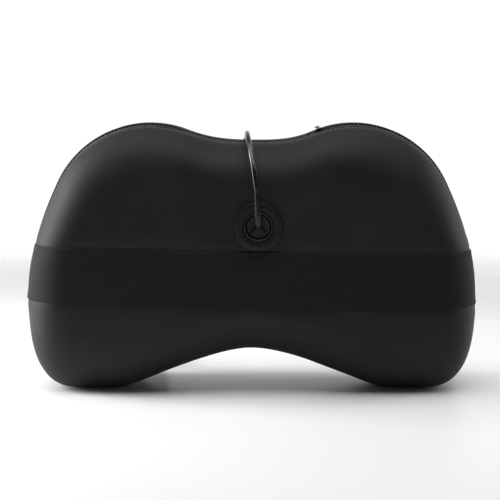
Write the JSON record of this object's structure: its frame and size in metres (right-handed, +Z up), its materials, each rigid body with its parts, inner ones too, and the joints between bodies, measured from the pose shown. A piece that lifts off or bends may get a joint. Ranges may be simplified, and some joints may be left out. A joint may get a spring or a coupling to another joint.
{
  "type": "shiatsu neck massager",
  "caption": "Two-lobed padded massage pillow with turning kneading heads, zipped leather and mesh cover, wide elastic strap, side control and power lead.",
  "frame": {"origin": "on the surface that the massager stands on, below the middle of its padded body", "axes": "+X along the two lobes, to the right as seen from the back panel; +Y from the back panel to the massaging side; +Z up"},
  "size_m": [0.363, 0.245, 0.2099],
  "materials": {
    "leather": "soft matte black imitation leather with a fine grain",
    "spacer_mesh": "black knitted spacer mesh",
    "zip_tape": "black woven zip tape with nylon coil teeth",
    "dark_metal": "black lacquered zinc",
    "elastic": "black elastic webbing with ribs along its length",
    "black_plastic": "satin black moulded plastic",
    "gloss_black": "gloss black moulded plastic",
    "red_lens": "clear red lens",
    "steel": "bright zinc-plated and brushed steel",
    "brass": "turned brass",
    "nylon": "natural nylon",
    "head_plastic": "translucent red moulded plastic",
    "case_plastic": "grey-white moulded case plastic",
    "board": "green circuit board",
    "foam": "grey open-cell foam",
    "loop_tape": "black brushed knit and hook-and-loop tape",
    "lead_jacket": "glossy black flexible vinyl"
  },
  "bodies": {
    "pillow": {"back_cover": "leather", "front_cover": "spacer_mesh", "gusset_band": "leather", "saddle_flap": "leather", "zip_chain": "zip_tape", "elastic_strap": "elastic", "control_strip": "black_plastic", "status_light": "red_lens", "case_screw_left": "steel", "case_screw_right": "steel", "case_screw_top_left": "steel", "case_screw_top_right": "steel", "motor_can": "steel", "motor_clamp": "black_plastic", "shaft_bearing_left": "black_plastic", "shaft_bearing_right": "black_plastic", "shaft_bush_left": "brass", "shaft_bush_right": "brass", "control_board": "board", "heat_lamp": "red_lens", "thermal_cutout": "steel", "rear_case": "case_plastic", "front_frame": "case_plastic", "foam_body": "foam", "head_liner": "loop_tape", "socket_bezel": "black_plastic", "socket_cup": "black_plastic", "lead_plug": "lead_jacket", "strain_relief": "lead_jacket", "power_cord": "lead_jacket", "cord_tail": "lead_jacket", "cord_coil": "lead_jacket", "cord_tie": "loop_tape", "wall_adapter": "black_plastic", "adapter_pin_left": "steel", "adapter_pin_right": "steel", "adapter_relief": "lead_jacket"},
    "slider": {"zip_slider": "dark_metal"},
    "pull": {"zip_pull": "dark_metal"},
    "power_key": {"power_button": "gloss_black"},
    "direction_key": {"direction_button": "gloss_black"},
    "drive_line": {"drive_shaft": "steel", "worm_left": "brass", "worm_right": "brass"},
    "left_rotor": {"worm_wheel_left": "nylon", "output_shaft_left": "steel", "rotor_arm_left": "black_plastic", "head_axle_left_upper": "steel", "head_axle_left_lower": "steel"},
    "right_rotor": {"worm_wheel_right": "nylon", "output_shaft_right": "steel", "rotor_arm_right": "black_plastic", "head_axle_right_upper": "steel", "head_axle_right_lower": "steel"},
    "left_upper_head": {"massage_head_left_upper": "head_plastic"},
    "left_lower_head": {"massage_head_left_lower": "head_plastic"},
    "right_upper_head": {"massage_head_right_upper": "head_plastic"},
    "right_lower_head": {"massage_head_right_lower": "head_plastic"}
  },
  "joints": [
    {"name": "rotor_left_turn", "type": "hinge", "parent": "pillow", "child": "left_rotor", "pos_m": [-0.06, 0, 0.114], "axis": [0, 1, 0], "continuous": true},
    {"name": "rotor_right_turn", "type": "hinge", "parent": "pillow", "child": "right_rotor", "pos_m": [0.06, 0, 0.114], "axis": [0, 1, 0], "continuous": true},
    {"name": "drive_turn", "type": "hinge", "parent": "pillow", "child": "drive_line", "pos_m": [0, -0.026, 0.084], "axis": [1, 0, 0], "continuous": true},
    {"name": "left_upper_head_turn", "type": "hinge", "parent": "left_rotor", "child": "left_upper_head", "pos_m": [-0.06, -0.00222, 0.13782], "axis": [0, 0.9925, 0.1219], "continuous": true},
    {"name": "left_lower_head_turn", "type": "hinge", "parent": "left_rotor", "child": "left_lower_head", "pos_m": [-0.06, 0.00362, 0.09018], "axis": [0, 0.9925, 0.1219], "continuous": true},
    {"name": "right_upper_head_turn", "type": "hinge", "parent": "right_rotor", "child": "right_upper_head", "pos_m": [0.06, -0.00222, 0.13782], "axis": [0, 0.9925, 0.1219], "continuous": true},
    {"name": "right_lower_head_turn", "type": "hinge", "parent": "right_rotor", "child": "right_lower_head", "pos_m": [0.06, 0.00362, 0.09018], "axis": [0, 0.9925, 0.1219], "continuous": true},
    {"name": "zip_travel", "type": "hinge", "parent": "pillow", "child": "slider", "pos_m": [0.082, -0.01, 0.128], "axis": [0, 1, 0], "range_deg": [0, 83]},
    {"name": "zip_pull_flip", "type": "hinge", "parent": "slider", "child": "pull", "pos_m": [0.05283, -0.0127, 0.20816], "axis": [0.9397, 0, 0.342], "range_deg": [0, 170]},
    {"name": "power_press", "type": "slide", "parent": "pillow", "child": "power_key", "axis": [-0.9269, 0, -0.3752], "range_m": [0, 0.0008], "stiffness_N_per_m": 400},
    {"name": "direction_press", "type": "slide", "parent": "pillow", "child": "direction_key", "axis": [-0.9269, 0, -0.3752], "range_m": [0, 0.0008], "stiffness_N_per_m": 400}
  ],
  "couplings": [
    {"joint": "rotor_right_turn", "follows": "rotor_left_turn", "ratio": -1},
    {"joint": "drive_turn", "follows": "rotor_left_turn", "ratio": 30}
  ]
}
